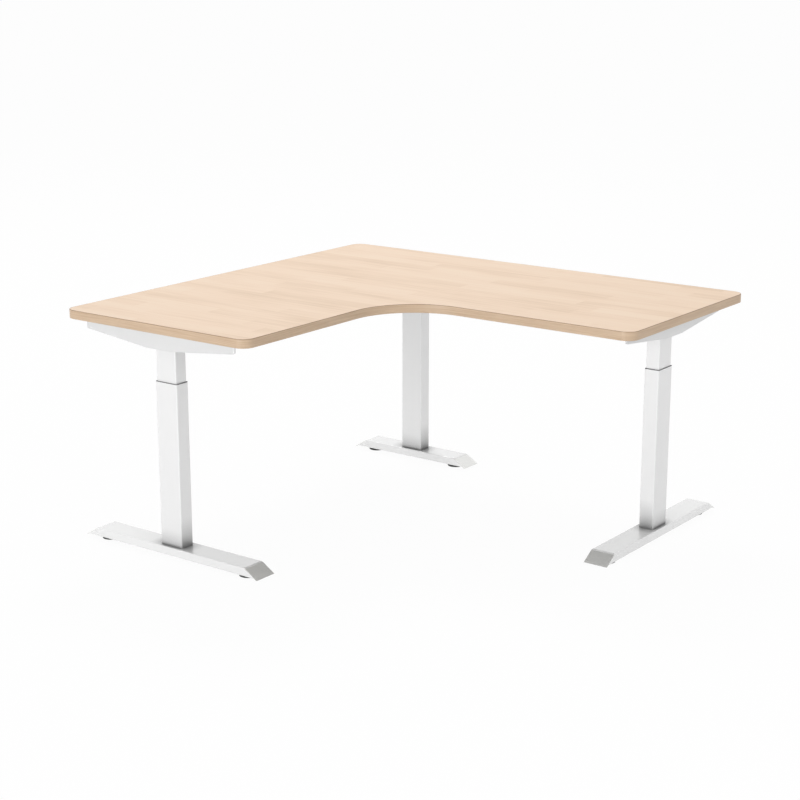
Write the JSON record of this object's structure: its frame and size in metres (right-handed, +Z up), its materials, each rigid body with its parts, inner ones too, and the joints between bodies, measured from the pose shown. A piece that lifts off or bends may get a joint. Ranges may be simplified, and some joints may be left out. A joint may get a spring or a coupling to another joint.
{
  "type": "height adjustable standing desk",
  "caption": "L-shaped corner desk with a light wood top with a curved inner corner, on motor-driven telescopic columns with slanted flat feet.",
  "frame": {"origin": "on the floor, under the centre of the desk's outer box", "axes": "+Z up, +X along the long wing to its free end, +Y to the back of that wing; the user sits in the angle of the L, at +X -Y"},
  "size_m": [1.6, 1.5, 0.76],
  "materials": {
    "tabletop": "light maple laminate, satin",
    "edge_band": "edge band in the same wood tone, satin",
    "white_powder_coat": "fine white powder coat, satin",
    "end_plate": "pale silver lacquer, satin",
    "dark_plastic": "moulded dark grey plastic, matt",
    "glide_plastic": "dark grey glide plastic, matt",
    "zinc_steel": "zinc plated",
    "spindle_steel": "rolled and greased",
    "nut_plastic": "natural acetal",
    "cast_alloy": "die cast",
    "motor_steel": "black painted can",
    "display": "smoked window, gloss",
    "button_rubber": "soft key, matt"
  },
  "bodies": {
    "base": {"foot_left": "white_powder_coat", "foot_corner": "white_powder_coat", "foot_right": "white_powder_coat", "lower_tube_left": "white_powder_coat", "lower_tube_corner": "white_powder_coat", "lower_tube_right": "white_powder_coat", "collar_left": "dark_plastic", "collar_corner": "dark_plastic", "collar_right": "dark_plastic", "push_tube_left": "zinc_steel", "push_tube_corner": "zinc_steel", "push_tube_right": "zinc_steel", "drive_nuts": "nut_plastic", "foot_bolts": "zinc_steel", "glide_bushes": "zinc_steel", "foot_end_caps": "end_plate"},
    "top": {"desktop": "tabletop", "edge_band": "edge_band", "upper_tube_left": "white_powder_coat", "upper_tube_corner": "white_powder_coat", "upper_tube_right": "white_powder_coat", "bracket_left": "white_powder_coat", "bracket_corner": "white_powder_coat", "bracket_right": "white_powder_coat", "gearbox_left": "cast_alloy", "gearbox_corner": "cast_alloy", "gearbox_right": "cast_alloy", "motor_left": "motor_steel", "motor_corner": "motor_steel", "motor_right": "motor_steel", "guide_shoes": "dark_plastic", "main_beam": "white_powder_coat", "main_beam_slider": "white_powder_coat", "side_beam": "white_powder_coat", "side_beam_slider": "white_powder_coat", "control_box": "dark_plastic", "handset": "dark_plastic", "display_window": "display", "board_screws": "zinc_steel", "frame_bolts": "zinc_steel"},
    "spindle_left": {"spindle_left": "spindle_steel"},
    "spindle_corner": {"spindle_corner": "spindle_steel"},
    "spindle_right": {"spindle_right": "spindle_steel"},
    "glide_left_1": {"glide_pad_left_1": "glide_plastic", "glide_stud_left_1": "zinc_steel"},
    "glide_left_2": {"glide_pad_left_2": "glide_plastic", "glide_stud_left_2": "zinc_steel"},
    "glide_corner_1": {"glide_pad_corner_1": "glide_plastic", "glide_stud_corner_1": "zinc_steel"},
    "glide_corner_2": {"glide_pad_corner_2": "glide_plastic", "glide_stud_corner_2": "zinc_steel"},
    "glide_right_1": {"glide_pad_right_1": "glide_plastic", "glide_stud_right_1": "zinc_steel"},
    "glide_right_2": {"glide_pad_right_2": "glide_plastic", "glide_stud_right_2": "zinc_steel"},
    "button_up": {"button_up": "button_rubber"},
    "button_down": {"button_down": "button_rubber"},
    "button_1": {"button_1": "button_rubber"},
    "button_2": {"button_2": "button_rubber"},
    "button_3": {"button_3": "button_rubber"}
  },
  "joints": [
    {"name": "lift", "type": "slide", "parent": "base", "child": "top", "axis": [0, 0, 1], "range_m": [-0.09, 0.34]},
    {"name": "spindle_left_turn", "type": "hinge", "parent": "top", "child": "spindle_left", "pos_m": [-0.425, -0.668, 0.6], "axis": [0, 0, 1], "continuous": true},
    {"name": "spindle_corner_turn", "type": "hinge", "parent": "top", "child": "spindle_corner", "pos_m": [-0.458, 0.652, 0.6], "axis": [0, 0, 1], "continuous": true},
    {"name": "spindle_right_turn", "type": "hinge", "parent": "top", "child": "spindle_right", "pos_m": [0.687, 0.383, 0.6], "axis": [0, 0, 1], "continuous": true},
    {"name": "glide_left_1_level", "type": "slide", "parent": "base", "child": "glide_left_1", "axis": [0, 0, -1], "range_m": [0, 0.01]},
    {"name": "glide_left_2_level", "type": "slide", "parent": "base", "child": "glide_left_2", "axis": [0, 0, -1], "range_m": [0, 0.01]},
    {"name": "glide_corner_1_level", "type": "slide", "parent": "base", "child": "glide_corner_1", "axis": [0, 0, -1], "range_m": [0, 0.01]},
    {"name": "glide_corner_2_level", "type": "slide", "parent": "base", "child": "glide_corner_2", "axis": [0, 0, -1], "range_m": [0, 0.01]},
    {"name": "glide_right_1_level", "type": "slide", "parent": "base", "child": "glide_right_1", "axis": [0, 0, -1], "range_m": [0, 0.01]},
    {"name": "glide_right_2_level", "type": "slide", "parent": "base", "child": "glide_right_2", "axis": [0, 0, -1], "range_m": [0, 0.01]},
    {"name": "button_up_press", "type": "slide", "parent": "top", "child": "button_up", "axis": [0, 1, 0], "range_m": [0, 0.0011], "stiffness_N_per_m": 800, "springref_m": -0.001},
    {"name": "button_down_press", "type": "slide", "parent": "top", "child": "button_down", "axis": [0, 1, 0], "range_m": [0, 0.0011], "stiffness_N_per_m": 800, "springref_m": -0.001},
    {"name": "button_1_press", "type": "slide", "parent": "top", "child": "button_1", "axis": [0, 1, 0], "range_m": [0, 0.0011], "stiffness_N_per_m": 800, "springref_m": -0.001},
    {"name": "button_2_press", "type": "slide", "parent": "top", "child": "button_2", "axis": [0, 1, 0], "range_m": [0, 0.0011], "stiffness_N_per_m": 800, "springref_m": -0.001},
    {"name": "button_3_press", "type": "slide", "parent": "top", "child": "button_3", "axis": [0, 1, 0], "range_m": [0, 0.0011], "stiffness_N_per_m": 800, "springref_m": -0.001}
  ],
  "couplings": [
    {"joint": "spindle_left_turn", "follows": "lift", "rad_per_m": 1256.6},
    {"joint": "spindle_corner_turn", "follows": "lift", "rad_per_m": 1256.6},
    {"joint": "spindle_right_turn", "follows": "lift", "rad_per_m": 1256.6}
  ]
}
